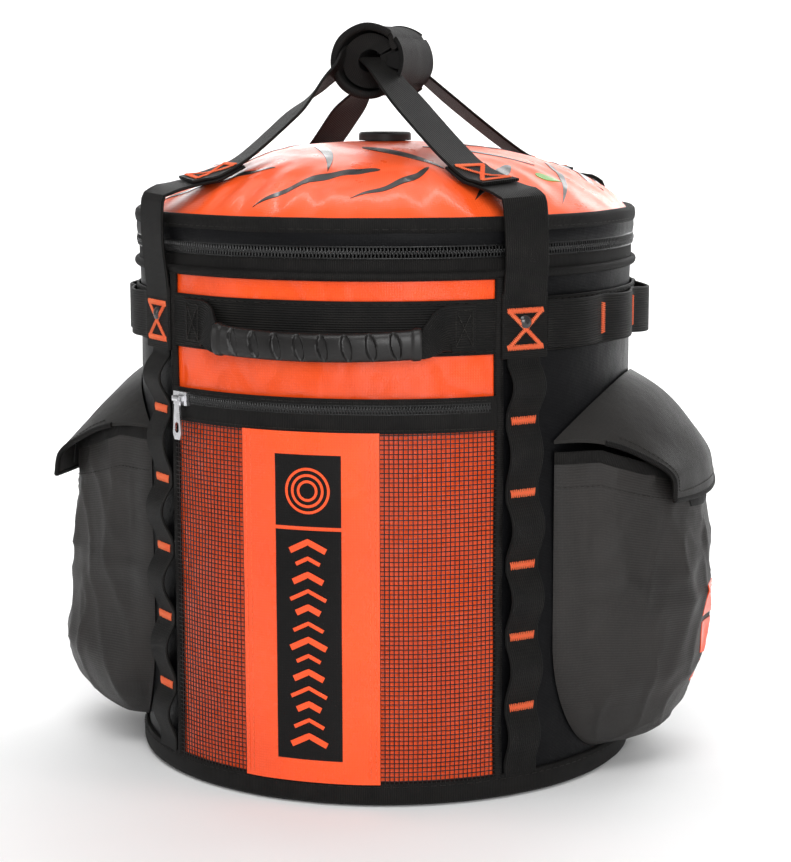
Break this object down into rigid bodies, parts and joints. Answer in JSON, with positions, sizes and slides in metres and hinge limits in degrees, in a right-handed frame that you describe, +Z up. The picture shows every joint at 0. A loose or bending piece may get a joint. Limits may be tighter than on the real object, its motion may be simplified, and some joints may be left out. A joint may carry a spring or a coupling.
{
  "type": "rope storage bag",
  "caption": "Round stiffened rope bag with a zipped domed lid, rope port, wrapped carry loops, moulded front grip, mesh pocket, flapped side pouches and webbing ladders.",
  "frame": {"origin": "middle of the base, on the ground", "axes": "+Z up; the front pocket and grip face -Y; the side pouches lie along X"},
  "size_m": [0.4686, 0.3732, 0.499],
  "materials": {
    "coated_orange": "glossy coated fabric",
    "webbing": "woven webbing",
    "binding": "ribbed grosgrain binding",
    "wall_fabric": "dense woven polyester",
    "pouch_fabric": "coated woven polyester",
    "mesh": "open square mesh",
    "label": null,
    "foam": "lined foam",
    "padding": "air mesh over foam",
    "hoop": "plain",
    "stiffener": "plain sheet",
    "base_fabric": "rubberised fabric",
    "coil": "nylon coil",
    "metal": "plated die casting",
    "rivet": "black satin",
    "grip": "moulded, satin",
    "port": "moulded, matt",
    "wrap": "neoprene",
    "buckle": "moulded, satin",
    "hook_tape": "hook and loop"
  },
  "bodies": {
    "bag": {"base_panel": "base_fabric", "base_stiffener": "stiffener", "base_binding": "binding", "drain_eyelets": "metal", "foam_lining": "foam", "front_panel": "coated_orange", "side_panel_right": "wall_fabric", "side_panel_left": "wall_fabric", "back_panel": "wall_fabric", "panel_bindings": "binding", "rim_hoop": "hoop", "rim_piping": "binding", "body_zip_half": "coil", "hinge_strip": "wall_fabric", "upper_band": "webbing", "gear_loops_right": "webbing", "gear_loops_left": "webbing", "ladder_front_right": "webbing", "ladder_front_left": "webbing", "ladder_back_right": "webbing", "ladder_back_left": "webbing", "strap_anchors": "webbing", "strap_rivets": "rivet", "front_mesh": "mesh", "centre_strip": "coated_orange", "centre_label": "label", "pocket_zip_tape": "binding", "pocket_zip_teeth": "coil", "grip_tabs": "webbing", "pouch_right": "pouch_fabric", "pouch_left": "pouch_fabric", "pouch_tapes": "hook_tape", "inner_tie_loops": "webbing", "back_pad": "padding", "shoulder_straps": "padding", "ladder_locks": "buckle", "lower_webs": "webbing"},
    "lid": {"lid_gusset": "wall_fabric", "lid_zip_half": "coil", "lid_binding": "binding", "lid_hoop": "hoop", "lid_dome": "coated_orange", "lid_lining": "foam", "rope_port": "port"},
    "left_loop": {"risers_left": "webbing", "carry_strap_left": "webbing", "wrap_outer": "wrap"},
    "right_loop": {"risers_right": "webbing", "carry_strap_right": "webbing", "wrap_inner": "wrap"},
    "pocket_zip": {"pocket_slider": "metal"},
    "pocket_tab": {"pocket_pull": "metal"},
    "lid_zip": {"lid_slider": "metal"},
    "lid_tab": {"lid_pull": "metal"},
    "grip": {"grip_core": "webbing", "front_grip": "grip"},
    "right_flap": {"flap_right": "pouch_fabric", "flap_tape_right": "hook_tape"},
    "left_flap": {"flap_left": "pouch_fabric", "flap_tape_left": "hook_tape"}
  },
  "joints": [
    {"name": "lid_hinge", "type": "hinge", "parent": "bag", "child": "lid", "pos_m": [0, 0.171, 0.356], "axis": [-1, 0, 0], "range_deg": [0, 37]},
    {"name": "left_loop_fold", "type": "hinge", "parent": "bag", "child": "left_loop", "pos_m": [-0.14, 0, 0.326], "axis": [0, -1, 0], "range_deg": [0, 155.4]},
    {"name": "right_loop_fold", "type": "hinge", "parent": "bag", "child": "right_loop", "pos_m": [0.14, 0, 0.326], "axis": [0, 1, 0], "range_deg": [0, 155.4]},
    {"name": "pocket_zip_run", "type": "hinge", "parent": "bag", "child": "pocket_zip", "pos_m": [0, 0, 0.258], "axis": [0, 0, 1], "range_deg": [0, 70]},
    {"name": "pocket_tab_swing", "type": "hinge", "parent": "pocket_zip", "child": "pocket_tab", "pos_m": [-0.10193, -0.14666, 0.258], "axis": [-0.8211, 0.5707, 0], "range_deg": [0, 150]},
    {"name": "lid_zip_run", "type": "hinge", "parent": "bag", "child": "lid_zip", "pos_m": [0, 0, 0.356], "axis": [0, 0, 1], "range_deg": [-300, 0]},
    {"name": "lid_tab_swing", "type": "hinge", "parent": "lid_zip", "child": "lid_tab", "pos_m": [0.0882, 0.15277, 0.356], "axis": [0.866, -0.5, 0], "range_deg": [0, 140]},
    {"name": "grip_swing", "type": "hinge", "parent": "bag", "child": "grip", "pos_m": [0, -0.174, 0.315], "axis": [-1, 0, 0], "range_deg": [0, 100]},
    {"name": "right_flap_hinge", "type": "hinge", "parent": "bag", "child": "right_flap", "pos_m": [0.174, 0, 0.263], "axis": [0, -1, 0], "range_deg": [0, 95]},
    {"name": "left_flap_hinge", "type": "hinge", "parent": "bag", "child": "left_flap", "pos_m": [-0.174, 0, 0.263], "axis": [0, 1, 0], "range_deg": [0, 95]}
  ],
  "couplings": [
    {"joint": "left_loop_fold", "follows": "lid_hinge", "ratio": 4.2},
    {"joint": "right_loop_fold", "follows": "lid_hinge", "ratio": 4.2}
  ]
}
